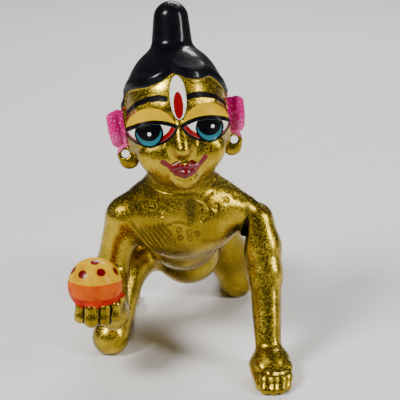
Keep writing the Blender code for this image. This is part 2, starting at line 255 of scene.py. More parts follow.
def head_lobes():
    """The head with its brow, cheeks, ears and topknot."""
    lobes = [
        head_egg(0.3, 0, 3, (13.0, 13.8, 15.2), 0),
        head_egg(0, 2.6, -8.4, (10.4, 10.6, 9.8), 3),
        head_egg(0.7, -1.6, 7.3, (11.3, 12.8, 11.6), 1),
        head_egg(0, 10.6, -15.0, (3.2, 2.8, 2.6), 2),
        head_limb((1.2, -1.5, 17), 5.0, (2.0, -1.5, 25.6), 4.05, 1.6),
    ]
    for side in (1, -1):
        lobes += [
            head_egg(side * 6.0, 8.2, -8.2, (5.2, 4.2, 4.6), 3),
            head_egg(side * 9.0, 2.2, -3.4, (4.6, 6.4, 6.0), 2),
            head_limb((side * 2.4, 12.2, 2.8), 1, (side * 9.0, 9.2, 3.6), 0.8, 3),
            head_egg(side * 6.8, 8.4, -1.8, (5.6, 3.9, 4.2), 2),
            head_limb((side * 16.5, -1.2, 2), 1.6, (side * 16, -0.8, -4), 1.5, 0.8),
            head_egg(side * 14.9, -1.2, -0.8, (3, 1, 5), 0.6),
            head_egg(side * 14.2, -0.6, -7.4, (2.3, 1.4, 2.4), 0.8),
            head_egg(side * 13.5, -0.6, -9.4, (2.5, 1.4, 2.2), 0.8),
        ]
    return lobes


def nose_and_mouth_lobes():
    lobes = [
        head_limb((0, 11.8, 0.5), 1.2, (0, 11.2, -6.4), 4.1, 1.5),
        head_limb((0, 12.8, 0.5), 0.7, (0, 15.2, -7.4), 1.5, 2),
    ]
    for side in (1, -1):
        lobes += [
            head_limb((side * 0.7, 13.4, -11.5), 0.95, (side * 3.1, 12.3, -11.9), 0.6, 0.3),
            head_limb((0, 13.1, -13.4), 1.15, (side * 2.2, 12.4, -12.9), 0.85, 0.3),
        ]
    return lobes


NECK = [Limb((0, -13.5, 46), 9.4, (-1, -14.6, 56), 8.6, 2)]
SWEET = [Egg(SWEET_CENTRE, (SWEET_RADIUS,) * 3, 0.4)]
LEFT_LEG = leg_lobes((8.6, 18, 25), (13, 20.8, 14.5), (16, 22, 4.6), (14.8, 41, 3.9), 10)
RIGHT_LEG = leg_lobes((-8.4, 10, 23.4), (-16.6, -1, 20.3), (-20.5, -16.8, 4.6), (-17.9, 9, 3.6), 9.5)
HEAD_LOBES = head_lobes()

# Each group is melted together first, and joins what stands before it over the width given.
GROUPS = (
    (0, torso_lobes()),
    (3, NECK),
    (1.2, left_arm_lobes()),
    (1.5, left_hand_lobes()),
    (3, right_arm_lobes()),
    (1.5, right_hand_lobes()),
    (0.4, SWEET),
    (3, LEFT_LEG),
    (3, RIGHT_LEG),
    (1.5, HEAD_LOBES),
    (0.8, nose_and_mouth_lobes()),
)

# The narrow gap between the straight arm and the chest, which leans a little outwards.
SLIT_LEAN = math.radians(7)
SLIT_AXES = np.array([[math.cos(SLIT_LEAN), 0, -math.sin(SLIT_LEAN)], [0, 1, 0],
                      [math.sin(SLIT_LEAN), 0, math.cos(SLIT_LEAN)]])
ARMPIT_SLIT = Egg((16.9, -15, 35), (0.85, 5.5, 6.8), 0, SLIT_AXES)


def melt(first, second, width):
    """The smooth union of two distance fields: a fillet of about this width."""
    if width <= 0:
        return np.minimum(first, second)
    overlap = np.maximum(width - np.abs(first - second), 0) / width
    return np.minimum(first, second) - overlap ** 2 * width / 4


def smooth_step(value, low, high):
    share = np.clip((value - low) / (high - low), 0, 1)
    return share * share * (3 - 2 * share)


# The hair's lower edge: angles round from the forehead, in degrees, and heights on the head.
HAIR_EDGE = (
    (-180, -13), (-130, -11.5), (-110, -7), (-96, 1.5), (-86, 3.4), (-80, 6.2), (-73, 8.1), (-60, 8.8),
    (-41, 8.9), (-28, 9.0), (-20, 9.4), (-11, 10.2), (0, 11.7), (6, 11.1), (15, 9.9), (28, 9.3),
    (38, 9.6), (45, 9.9), (57, 8.4), (72, 6.2), (85, 3.8), (96, 1.5), (110, -7), (130, -11.5), (180, -13),
)
HAIR_RISE = 0.55
HAIR_ROLL = 0.5


def above_hair_edge(points):
    """How far a place on the head lies above the hair's edge."""
    local = head_places(points)
    angles, heights = np.transpose(HAIR_EDGE)
    around = np.degrees(np.arctan2(local[:, 0], local[:, 1] + 1))
    return local[:, 2] - np.interp(around, angles, heights)


def on_ear(points):
    local = head_places(points)
    return (np.abs(local[:, 0]) > 13.4) & (np.abs(local[:, 2] + 3.5) < 8.5)


def hair_relief(points):
    """How far the hair stands proud of the brow, with a soft roll along its edge."""
    above = above_hair_edge(points)
    roll = HAIR_ROLL * np.exp(-((above - 2.3) / 1.3) ** 2)
    rise = smooth_step(above, -0.2, 0.3) * (HAIR_RISE + roll)
    return np.where(on_ear(points), 0, rise)


def lobe_field(lobe, points):
    """A lobe's distance, exact near the lobe and no more than a bound far from it."""
    ends = np.array([centre for centre, _ in lobe.balls()])
    reach = max(np.linalg.norm(ends[0] - ends[-1]) / 2 + max(lobe.radii), 1)
    field = np.linalg.norm(points - ends.mean(axis=0), axis=1) - reach
    close = field < FAR
    field[close] = lobe.distance(points[close])
    return field


def melted(lobes, points):
    """One group's field: its lobes joined in turn, each over its own width."""
    field = None
    for lobe in lobes:
        near = lobe_field(lobe, points)
        field = near if field is None else melt(field, near, lobe.blend)
    return field


def ear_hole_centre(side):
    return on_head(side * 14.3, -0.6, -7.5)


# Outlines on the flat or in space: circles, ovals and brush strokes.


def circle_through(first, second, third):
    """The centre and radius of the circle through three places."""
    rows = 2 * np.array([np.subtract(second, first), np.subtract(third, first)])
    ends = np.array([np.dot(other, other) - np.dot(first, first) for other in (second, third)])
    centre = np.linalg.solve(rows, ends)
    return centre, np.linalg.norm(centre - first)


def disc(places, centre, radius):
    return np.linalg.norm(places - centre, axis=1) - radius


def oval(places, centre, radii, lean):
    """Signed distance, near enough, from an oval that leans to the right by this angle."""
    offset = places - np.array(centre)
    wide = offset @ (math.cos(lean), -math.sin(lean))
    high = offset @ (math.sin(lean), math.cos(lean))
    share = np.hypot(wide / radii[0], high / radii[1])
    steep = np.hypot(wide / radii[0] ** 2, high / radii[1] ** 2)
    return share * (share - 1) / np.maximum(steep, 1e-6)


def disc_through(places, *three):
    return disc(places, *circle_through(*three))


def stroke(places, *knots):
    """Signed distance to a brush stroke whose knots are a place and the stroke's radius there."""
    near = np.full(len(places), np.inf)
    for first, last in zip(knots, knots[1:]):
        start, end = np.array(first[:-1], float), np.array(last[:-1], float)
        axis = end - start
        share = np.clip((places - start) @ axis / (axis @ axis), 0, 1)
        reach = np.linalg.norm(places - start - share[:, None] * axis, axis=1)
        near = np.minimum(near, reach - first[-1] - share * (last[-1] - first[-1]))
    return near


# Engraving: punched rings and beads, a neck ring, gathers and grooves.
RINGS = (
    (-5.4, 44.1), (5.5, 42.8), (2.0, 42.2), (-0.9, 40.0), (-0.6, 37.6), (1.8, 39.1), (2.0, 37.2),
    (3.9, 38.7), (-4.3, 30.9), (9.0, 45.4), (11.7, 46.6), (14.4, 46.9), (16.4, 45.9),
)
RING_RADIUS = 0.68
CHAIN = ((-3.9, 41.6), (-3.1, 42.0), (-2.2, 42.3), (-1.3, 42.45), (-0.4, 42.4), (0.5, 42.2), (1.2, 41.8))
CHAIN_RADIUS = 0.3
NECK_RING_HEIGHT = 49.7
NECK_RING_WIDTH = 2.3
NECK_AXIS = (-0.4, -14.0)


def bare_form(points):
    """The form before it is engraved and pierced."""
    whole = None
    for width, lobes in GROUPS:
        field = melted(lobes, points)
        if lobes is HEAD_LOBES:
            field = field - hair_relief(points)
        whole = field if whole is None else melt(whole, field, width)
    return np.maximum(whole, -lobe_field(ARMPIT_SLIT, points))


def on_front(across, up):
    """The place on the front of the body at this distance across and up."""
    place = np.array([[across, -60.0, up]])
    for _ in range(60):
        place[0, 1] += np.clip(bare_form(place)[0], -2, 4)
    return place[0]


RING_PLACES = [on_front(across, up) for across, up in RINGS]
CHAIN_PLACES = [on_front(across, up) for across, up in CHAIN]


def cut(near, width, depth):
    """How deep a graver has cut where its line is this near."""
    return depth * np.maximum(1 - (near / width) ** 2, 0)


def gathers(flat):
    """The fan of strokes below the right shoulder, and the forked line at the left collarbone."""
    cuts = np.zeros(len(flat))
    for step in range(5):
        top = (-9.9 + 1.15 * step, 39.2 + 0.55 * step)
        bottom = (top[0] + 3.6 - 0.35 * step, top[1] - 6.0 + 0.8 * step)
        near = stroke(flat, (*top, 0), (*bottom, 0))
        cuts = np.maximum(cuts, cut(near, 0.42, 0.3))
    for step in range(4):
        top = (-4.6 + 0.8 * step, 38.4 - 0.4 * step)
        near = stroke(flat, (*top, 0), (top[0] + 0.3, top[1] - 3.0, 0))
        cuts = np.maximum(cuts, cut(near, 0.26, 0.18))
    folds = np.minimum(stroke(flat, (-13.6, 39.8, 0), (-9.6, 34.2, 0), (-6.2, 30.2, 0)),
                       stroke(flat, (-11.2, 38.8, 0), (-6.9, 32.6, 0)))
    cuts = np.maximum(cuts, cut(folds, 0.6, 0.42))
    fork = np.minimum(stroke(flat, (3.4, 48.3, 0), (5.5, 47.4, 0), (8.0, 48.8, 0)),
                      stroke(flat, (5.5, 47.4, 0), (6.9, 45.6, 0)))
    return np.maximum(cuts, cut(fork, 0.34, 0.26))


def neck_ring(points):
    """Two lines round the neck with slanting cuts between them."""
    above = points[:, 2] - NECK_RING_HEIGHT - 0.22 * (points[:, 1] + 23)
    offset = points[:, :2] - NECK_AXIS
    around = np.arctan2(offset[:, 0], -offset[:, 1])
    lines = np.maximum(cut(above, 0.32, 0.26), cut(above - NECK_RING_WIDTH, 0.32, 0.26))
    slant = np.abs((around * 14 + above * 0.9) % 1 - 0.5)
    past_first = smooth_step(above, 0.2, 0.6)
    before_second = 1 - smooth_step(above, NECK_RING_WIDTH - 0.6, NECK_RING_WIDTH - 0.2)
    slanting = 0.2 * (1 - smooth_step(slant, 0.12, 0.3))
    cuts = np.maximum(lines, past_first * before_second * slanting)
    near_neck = 1 - smooth_step(np.linalg.norm(offset, axis=1), 10.8, 11.8)
    return cuts * near_neck


def engraving(points):
    """How deep the engraving is at each place."""
    cuts = neck_ring(points)
    front = (points[:, 1] < -12) & (points[:, 2] > 28) & (points[:, 2] < 53)
    places = points[front]
    marks = gathers(places[:, [0, 2]])
    for centre in RING_PLACES:
        near = np.linalg.norm(places - centre, axis=1)
        marks = np.maximum(marks, cut(near - RING_RADIUS, 0.3, 0.28))
    for centre in CHAIN_PLACES:
        near = np.linalg.norm(places - centre, axis=1)
        marks = np.maximum(marks, cut(near - CHAIN_RADIUS, 0.2, 0.16))
    cuts[front] = np.maximum(cuts[front], marks)
    return cuts


# The two pits punched in the knees: their places and how wide and deep they are.
PUNCHES = ((16, 16.7, 5.0), (-18.2, -21.4, 5.0))
PUNCH_WIDTH = 1.0
PUNCH_DEPTH = 0.5


def form(points):
    """Signed distance, in the layout's units, from the idol's surface."""
    whole = bare_form(points) + engraving(points)
    for centre in PUNCHES:
        whole += cut(np.linalg.norm(points - centre, axis=1), PUNCH_WIDTH, PUNCH_DEPTH)
    for side in (1, -1):
        offset = points - ear_hole_centre(side)
        along = offset @ HEAD[1]
        from_axis = np.linalg.norm(offset - np.outer(along, HEAD[1]), axis=1)
        hole = np.where(np.abs(along) < DRILL_LENGTH / 2, EAR_HOLE_RADIUS - from_axis, -FAR)
        whole = np.maximum(whole, hole)
    return np.maximum(whole, ORIGIN[2] - points[:, 2])


# The skin: lobes as hulls, fused by a voxel remesh, then settled onto the form.


def ball_points(centre, radii, axes):
    """Points spread evenly over an ellipsoid."""
    step = np.arange(LOBE_POINTS) + 0.5
    height = 1 - 2 * step / LOBE_POINTS
    turn = step * math.pi * (3 - math.sqrt(5))
    across = np.sqrt(1 - height ** 2)
    unit = np.stack([across * np.cos(turn), across * np.sin(turn), height], axis=1)
    return centre + (unit * radii) @ axes


def lobe_mesh(lobe):
    """A lobe as a closed mesh: the hull of the points on its balls."""
    made = bmesh.new()
    for centre, radii in lobe.balls():
        for place in ball_points(centre, radii, lobe.axes):
            made.verts.new(place)
    hull = bmesh.ops.convex_hull(made, input=made.verts[:])
    inner = [v for v in hull["geom_interior"] if isinstance(v, bmesh.types.BMVert)]
    bmesh.ops.delete(made, geom=inner, context="VERTS")
    return made


def new_object(name, mesh):
    obj = bpy.data.objects.new(name, mesh)
    bpy.context.scene.collection.objects.link(obj)
    return obj


def with_modifier(mesh, kind, **settings):
    """The mesh as one modifier changes it."""
    helper = new_object("helper", mesh)
    modifier = helper.modifiers.new(kind.title(), kind)
    for key, value in settings.items():
        setattr(modifier, key, value)
    bpy.context.view_layer.update()
    graph = bpy.context.evaluated_depsgraph_get()
    changed = bpy.data.meshes.new_from_object(helper.evaluated_get(graph))
    bpy.data.objects.remove(helper)
    return changed


def ear_drill(side):
    made = bmesh.new()
    turned = Vector(HEAD[1]).to_track_quat("Z", "Y").to_matrix().to_4x4()
    placed = Matrix.Translation(Vector(ear_hole_centre(side))) @ turned
    bmesh.ops.create_cone(made, cap_ends=True, segments=20, radius1=EAR_HOLE_RADIUS,
                          radius2=EAR_HOLE_RADIUS, depth=DRILL_LENGTH, matrix=placed)
    mesh = bpy.data.meshes.new("ear_drill")
    made.to_mesh(mesh)
    made.free()
    return new_object("ear_drill", mesh)


def slit_cutter():
    made = lobe_mesh(ARMPIT_SLIT)
    mesh = bpy.data.meshes.new("armpit_slit")
    made.to_mesh(mesh)
    made.free()
    return new_object("armpit_slit", mesh)


def fused_skin():
    """All lobes joined and remeshed to one closed skin, with its ear lobes pierced."""
    joined = bmesh.new()
    for _, lobes in GROUPS:
        for lobe in lobes:
            made = lobe_mesh(lobe)
            scrap = bpy.data.meshes.new("lobe")
            made.to_mesh(scrap)
            made.free()
            joined.from_mesh(scrap)
            bpy.data.meshes.remove(scrap)
    mesh = bpy.data.meshes.new("lobes")
    joined.to_mesh(mesh)
    joined.free()
    mesh = with_modifier(mesh, "REMESH", mode="VOXEL", voxel_size=VOXEL)
    for cutter in (ear_drill(1), ear_drill(-1), slit_cutter()):
        mesh = with_modifier(mesh, "BOOLEAN", operation="DIFFERENCE", solver="EXACT", object=cutter)
        bpy.data.objects.remove(cutter)
    return with_modifier(mesh, "REMESH", mode="VOXEL", voxel_size=VOXEL)


def mesh_points(mesh):
    places = np.empty(len(mesh.vertices) * 3, np.float32)
    mesh.vertices.foreach_get("co", places)
    return places.reshape(-1, 3).astype(float)


def slopes(points, at_points, nudge=0.02):
    """The form's gradient, given its values at the points."""
    return np.stack([form(points + nudge * step) - at_points for step in np.eye(3)], axis=1) / nudge


def settle(mesh, rounds, moves=2):
    """Moves the skin's points onto the form, and evens them out between moves."""
    points = mesh_points(mesh)
    ends = np.empty(len(mesh.edges) * 2, np.int32)
    mesh.edges.foreach_get("vertices", ends)
    ends = ends.reshape(-1, 2)
    count = np.bincount(ends.ravel(), minlength=len(points))[:, None]
    for turn in range(rounds):
        if turn:
            total = np.zeros_like(points)
            np.add.at(total, ends[:, 0], points[ends[:, 1]])
            np.add.at(total, ends[:, 1], points[ends[:, 0]])
            points = 0.5 * points + 0.5 * total / np.maximum(count, 1)
        for _ in range(moves):
            off = form(points)
            slope = slopes(points, off)
            steep = np.maximum(np.sum(slope ** 2, axis=1), 0.25)
            points -= np.clip(slope * (off / steep)[:, None], -0.8, 0.8)
    mesh.vertices.foreach_set("co", points.astype(np.float32).ravel())
    mesh.update()


def refined(mesh, chosen):
    """Splits the faces whose middles are chosen, and the rims of their neighbours."""
    made = bmesh.new()
    made.from_mesh(mesh)
    made.faces.ensure_lookup_table()
    middles = np.array([face.calc_center_median() for face in made.faces])
    edges = {edge for index in np.nonzero(chosen(middles))[0] for edge in made.faces[index].edges}
    bmesh.ops.subdivide_edges(made, edges=list(edges), cuts=1, use_grid_fill=True)
    made.to_mesh(mesh)
    made.free()


def worth_refining(points):
    """The face, the hair's edge, the ears, the hands and the engraved chest."""
    local = head_places(points)
    face = (local[:, 1] > 1) & (np.abs(local[:, 2] + 3) < 17) & (np.abs(local[:, 0]) < 14)
    ears = (np.abs(local[:, 0]) > 12.5) & (np.abs(local[:, 2] + 3) < 9) & (local[:, 1] > -3)
    chest = (points[:, 1] < -16) & (points[:, 2] > 31) & (np.abs(points[:, 0]) < 14)
    left_hand = (points[:, 1] < -33) & (points[:, 0] > 15) & (points[:, 2] < 12)
    right_hand = (points[:, 1] < -34) & (points[:, 0] < -14) & (points[:, 2] < 40)
    return face | ears | chest | left_hand | right_hand


def worth_refining_again(points):
    """The painted face and the engraved chest, where the finest marks are."""
    local = head_places(points)
    front = local[:, 1] > 3
    eyes = front & (np.abs(local[:, 2] + 0.5) < 7.2) & (np.abs(local[:, 0]) < 14)
    middle = front & (local[:, 2] > -15.6) & (local[:, 2] < 12) & (np.abs(local[:, 0]) < 3.6)
    mouth = front & (local[:, 2] > -15.6) & (local[:, 2] < -7) & (np.abs(local[:, 0]) < 7)
    chest = (points[:, 1] < -18) & (np.abs(points[:, 2] - 42) < 7) & (np.abs(points[:, 0] - 0.5) < 7.5)
    strokes = (points[:, 1] < -18) & (np.abs(points[:, 2] - 36) < 5) & (np.abs(points[:, 0] + 7) < 4.5)
    neck = (points[:, 1] < -15) & (np.abs(points[:, 2] - 51.5) < 2.5) & (np.abs(points[:, 0]) < 10)
    return eyes | middle | mouth | chest | strokes | neck


def idol_mesh():
    """The whole skin in the layout's units."""
    mesh = fused_skin()
    settle(mesh, 3)
    for chosen in (worth_refining, worth_refining_again):
        refined(mesh, chosen)
        settle(mesh, 2, moves=1)
    return mesh


def in_nearest_metres(mesh):
    """Sets the skin in the frame, its lowest points flat on the ground."""
    places = (mesh_points(mesh) - ORIGIN) * PART
    places[places[:, 2] < GROUND_TOUCH, 2] = 0
    mesh.vertices.foreach_set("co", places.astype(np.float32).ravel())
    mesh.update()


# The painted face, on the flat of the head's own measure: how far across and up.
# The painter held the eyes and the mouth a little more level than the head.
EYES_PIVOT = (0, -1.5)
EYES_LEVELLED = math.radians(1.9)
MOUTH_PIVOT = (0, -12.2)
MOUTH_LEVELLED = math.radians(3.2)

# One eye, which is mirrored for the other: its corners and arcs, the lid, the iris and the pupil.
EYE_OUTER = (13.2, -2.2)
EYE_TOP = (7.6, -0.6)
EYE_INNER = (1.05, -2.0)
EYE_BOTTOM = (7.8, -5.5)
LID_TOP = (7.4, 3.6)
IRIS_CENTRE = (7.65, -2.75)
IRIS_RADIUS = 3.6
TEAL_RADIUS = 3.1
PUPIL_CENTRE = (7.65, -1.6)
PUPIL_RADIUS = 3.05

# The painted glint in each eye, a white highlight, and the mark on the forehead.
GLINTS = ((-7.6, -2.9), (8.4, -2.4))
GLINT_RADIUS = 0.45
MARK_LEAN = math.radians(3)


def levelled(local, pivot, angle):
    """Places on the flat of the face, in the frame of a feature that is turned about its pivot."""
    offset = local[:, [0, 2]] - pivot
    across = offset @ (math.cos(angle), -math.sin(angle))
    up = offset @ (math.sin(angle), math.cos(angle))
    return np.stack([across, up], axis=1) + pivot


def mirrored(flat):
    return np.stack([np.abs(flat[:, 0]), flat[:, 1]], axis=1)


def eye_paint(local):
    """The eyes' coats, lids and brows, as signed distances from their outlines."""
    flat = levelled(local, EYES_PIVOT, EYES_LEVELLED)
    both = mirrored(flat)
    below_upper = disc_through(both, EYE_OUTER, EYE_TOP, EYE_INNER)
    above_lower = disc_through(both, EYE_OUTER, EYE_BOTTOM, EYE_INNER)
    eye = np.maximum(below_upper, above_lower)
    line = np.maximum(below_upper - 1.05, above_lower - 0.6)
    lid_arc = disc_through(both, (13.6, -1.6), LID_TOP, (0.8, -1.2))
    corner = np.maximum(np.maximum(-above_lower - 1.1, eye), both[:, 0] - 6)
    rim = np.maximum(np.maximum(-above_lower - 0.4, eye), 10 - both[:, 0])
    brow = stroke(both, (2.9, 5.5, 0.72), (4.4, 5.85, 0.78), (6.9, 5.75, 0.72), (10.0, 4.9, 0.6),
                  (12.3, 3.0, 0.4), (12.9, 1.9, 0.2))
    return {
        "lid_yellow": np.maximum(lid_arc, -below_upper),
        "line_black": np.minimum(line, brow),
        "eye_white": eye,
        "corner_red": np.minimum(corner, rim),
        "iris_black": np.maximum(disc(both, IRIS_CENTRE, IRIS_RADIUS), below_upper),
        "iris_teal": np.maximum(disc(both, IRIS_CENTRE, TEAL_RADIUS), below_upper),
        "pupil_black": np.maximum(disc(both, PUPIL_CENTRE, PUPIL_RADIUS), below_upper),
        # The painted glint in each eye.
        "glint_white": np.minimum(*(disc(flat, glint, GLINT_RADIUS) for glint in GLINTS)),
    }


def mouth_paint(local):
    """Both lips and the stroke beyond each corner."""
    both = mirrored(levelled(local, MOUTH_PIVOT, MOUTH_LEVELLED))
    upper = stroke(both, (0.2, -12.1, 0.75), (1.8, -11.4, 1.15), (3.7, -11.7, 0.45))
    lower = stroke(both, (0, -13.4, 1.3), (2.2, -12.9, 1.0), (3.9, -11.8, 0.3))
    flat = local[:, [0, 2]]
    smile = np.minimum(stroke(flat, (-5.2, -10.0, 0.65), (-3.96, -10.9, 0.6)),
                       stroke(flat, (5.51, -10.08, 0.65), (4.2, -11.3, 0.55)))
    return np.minimum(np.minimum(upper, lower), smile)


def face_paint(local):
    """The painted face: for each coat, how deep inside its outline a place lies."""
    flat = local[:, [0, 2]]
    mark = oval(flat, (0.6, 5.55), (2.05, 5.5), MARK_LEAN)
    mark_heart = oval(flat, (0.45, 3.6), (1.2, 3.4), MARK_LEAN)
    coats = eye_paint(local)
    coats["white"] = np.minimum(coats.pop("eye_white"), mark)
    coats["bright_red"] = np.minimum(coats.pop("corner_red"), mark_heart)
    coats["lip_red"] = mouth_paint(local)
    front = np.minimum(local[:, 1] - 1, 14.0 - np.abs(local[:, 0]))
    return {name: np.minimum(-outline, front) for name, outline in coats.items()}


# The painted sweet: where its dots lie, round from the front and up, in degrees.
SWEET_DOTS = ((13, 78), (-32, 43), (26, 48), (80, 37), (-80, 39), (132, 42), (-128, 44), (178, 40))
DOT_RADIUS = 1.2
FINGERTIP_LEVEL = 25.1
FINGER_LINES = (-25.55, -21.4, -18.5)


def sweet_paint(points):
    """The sweet's coats, which run down over the fingertips."""
    local = points - SWEET_CENTRE
    off = np.linalg.norm(local, axis=1) - SWEET_RADIUS
    over_tips = np.minimum(points[:, 2] - FINGERTIP_LEVEL, 3 - off)
    orange = np.maximum(0.5 - off, over_tips)
    forward = smooth_step(-local[:, 1], -2, 6)
    dome = np.minimum(local[:, 2] - 1.2 - 1.3 * forward, orange)
    hem = np.minimum(FINGERTIP_LEVEL + 1.5 - points[:, 2], orange)
    dots = np.full(len(points), -9.0)
    for around, above in np.radians(SWEET_DOTS):
        level = math.cos(above)
        toward = np.array([math.sin(around) * level, -math.cos(around) * level, math.sin(above)])
        dots = np.maximum(dots, DOT_RADIUS - np.linalg.norm(local - SWEET_RADIUS * toward, axis=1))
    return {"sweet_orange": orange, "sweet_hem": hem, "sweet_yellow": dome, "sweet_dots": dots}


def finger_lines(points):
    """The black lines painted between the fingers that hold the sweet."""
    lines = np.full(len(points), -9.0)
    for across in FINGER_LINES:
        band = np.abs(points[:, 0] - across - 0.05 * (points[:, 2] - 21))
        within = np.minimum(0.26 - band, np.minimum(points[:, 2] - 18.4, 24.9 - points[:, 2]))
        lines = np.maximum(lines, np.minimum(within, -35 - points[:, 1]))
    return lines


def add_field(mesh, name, numbers):
    field = mesh.attributes.new(name, "FLOAT", "POINT")
    field.data.foreach_set("value", np.asarray(numbers, np.float32))


# How far out the patina and painted shade look for a crevice's other wall, and for a hollow's.
CREVICE_REACH = 1.2
HOLLOW_REACH = 4.0


def painted_shade(points):
    """Painted shade and painted dark reflection in soft patches: round the slit, on the breast, neck and
    arm.
    """
    patches = (
        stroke(points, (17.6, -17, 45, 1.0), (17.2, -17, 36, 1.6), (15.4, -18, 25, 2.2)),
        stroke(points, (2.0, -23, 47, 2.2), (2.6, -25, 43, 1.6)),
        stroke(points, (8.6, -18.5, 54, 2.2), (8.8, -19, 50.5, 1.2)),
        stroke(points, (22.3, -24, 30, 1.0), (23, -28, 20, 1.2)),
    )
    return np.clip(0.5 - np.min(patches, axis=0) / 3.2, 0, 1)


def coat_fields(points):
    """For each coat of paint, how deep inside its outline each place lies."""
    local = head_places(points)
    off_head = np.abs(melted(HEAD_LOBES, points) - hair_relief(points))
    above = above_hair_edge(points)
    hair = np.where(on_ear(points), np.minimum(above, -0.3), above)
    ear_side = np.abs(local[:, 0]) - 13.6
    ear_up = local[:, 2] + 5.8 + 0.9 * np.maximum(np.abs(local[:, 0]) - 14.6, 0)
    fields = {
        "hair": np.minimum(hair, 1.3 - off_head),
        "ear_pink": np.minimum(np.minimum(ear_side, ear_up), 1.3 - off_head),
        "ear_deep": local[:, 2] + 2.2,
        "finger_lines": finger_lines(points),
    }
    for name, depth in face_paint(local).items():
        fields[name] = np.minimum(depth, 3 - off_head)
    return fields | sweet_paint(points)


def shut_in(points, normals, reach):
    """How much of the way out from each place, over this reach, the form closes in again."""
    return 1 - form(points + reach * normals) / reach


def wear_and_shade_fields(points, normals):
    """Where the brass is dirty, has patina or painted shade, is cut or speckled, each from 0 to 1."""
    local = head_places(points)
    # Painted shade: the inside of the armpit slit is blackened as if in shadow.
    painted_slit_shade = smooth_step(-lobe_field(ARMPIT_SLIT, points), -0.5, -0.1)
    side = np.stack([np.abs(local[:, 0]), local[:, 2]], axis=1)
    temple = stroke(side, (13.0, 6.5, 1.5), (14.2, -1.0, 1.3))
    neck = np.linalg.norm((points - (-0.5, -18, 53)) * (0.8, 1, 1), axis=1) - 9
    arm = stroke(points, (21, -13, 38, 3), (23, -22, 20, 6))
    return {
        # Patina and painted shade in crevices and hollows; painted shade and dark reflection in the soft
        # patches.
        "crevice_patina_and_shade": np.clip(np.maximum(shut_in(points, normals, CREVICE_REACH), painted_slit_shade), 0, 1),
        "hollow_patina_and_shade": np.clip(shut_in(points, normals, HOLLOW_REACH), 0, 1),
        "painted_shade": painted_shade(points),
        "engraved": np.clip(engraving(points) / 0.25, 0, 1),
        "speckled": np.clip(0.5 - np.minimum(np.minimum(temple, neck), arm) / 4, 0, 1),
    }


def paint_fields(mesh):
    """Writes the coats' depths and the brass's wear and painted shade on the skin's points."""
    points = mesh_points(mesh)
    normals = np.empty(len(points) * 3, np.float32)
    mesh.vertices.foreach_get("normal", normals)
    normals = normals.reshape(-1, 3).astype(float)
    for name, numbers in (coat_fields(points) | wear_and_shade_fields(points, normals)).items():
        add_field(mesh, name, numbers)


# The material.


def add_node(tree, kind, sockets, **settings):
    """A node with its settings made and its sockets linked or set."""
    made = tree.nodes.new(kind)
    for name, value in settings.items():
        setattr(made, name, value)
    for name, value in sockets.items():
        if isinstance(value, bpy.types.NodeSocket):
            tree.links.new(value, made.inputs[name])
        else:
            made.inputs[name].default_value = value
    return made


def field_value(tree, name):
    return add_node(tree, "ShaderNodeAttribute", {}, attribute_name=name).outputs["Fac"]


def noise(tree, scale, detail=3, roughness=0.55):
    place = add_node(tree, "ShaderNodeTexCoord", {}).outputs["Object"]
    sockets = {"Vector": place, "Scale": scale, "Detail": detail, "Roughness": roughness}
    return add_node(tree, "ShaderNodeTexNoise", sockets).outputs["Fac"]


def maths(tree, operation, first, second=0.0, third=None):
    sockets = {0: first, 1: second}
    if third is not None:
        sockets[2] = third
    return add_node(tree, "ShaderNodeMath", sockets, operation=operation).outputs[0]


def ramp(tree, value, low, high, start=0.0, end=1.0):
    sockets = {"Value": value, "From Min": low, "From Max": high, "To Min": start, "To Max": end}
    return add_node(tree, "ShaderNodeMapRange", sockets, interpolation_type="SMOOTHSTEP").outputs["Result"]


def mixed_colour(tree, share, under, over):
    return add_node(tree, "ShaderNodeMix", {0: share, 6: under, 7: over}, data_type="RGBA").outputs[2]


def mixed(tree, share, under, over):
    return add_node(tree, "ShaderNodeMix", {0: share, 2: under, 3: over}, data_type="FLOAT").outputs[0]


# The bare metal's two tones and what darkens it: dirt, patina and painted shade.
BRASS_DEEP = (0.25, 0.165, 0.010, 1)
BRASS_BRIGHT = (0.54, 0.38, 0.032, 1)
DIRT_AND_SHADE = (0.012, 0.009, 0.004, 1)
EAR_MAGENTA = (0.62, 0.002, 0.19, 1)
EAR_GLITTER = (1.0, 0.30, 0.55, 1)

# The noises' scales to the metre, from the polish's broad clouds to the finest pits.
CLOUDS = 70
MOTTLES = 260
BRUSH_EDGE = 900
GRAIN = 1300
EAR_FLAKES = 1700
HAIR_SPARKLE = 1900
GLITTER = 2100
PITS = 2600

# How far a coat's edge goes from wandering to full, in the layout's units.
EDGE_WANDER = 0.22
EDGE_SOFTNESS = 0.05

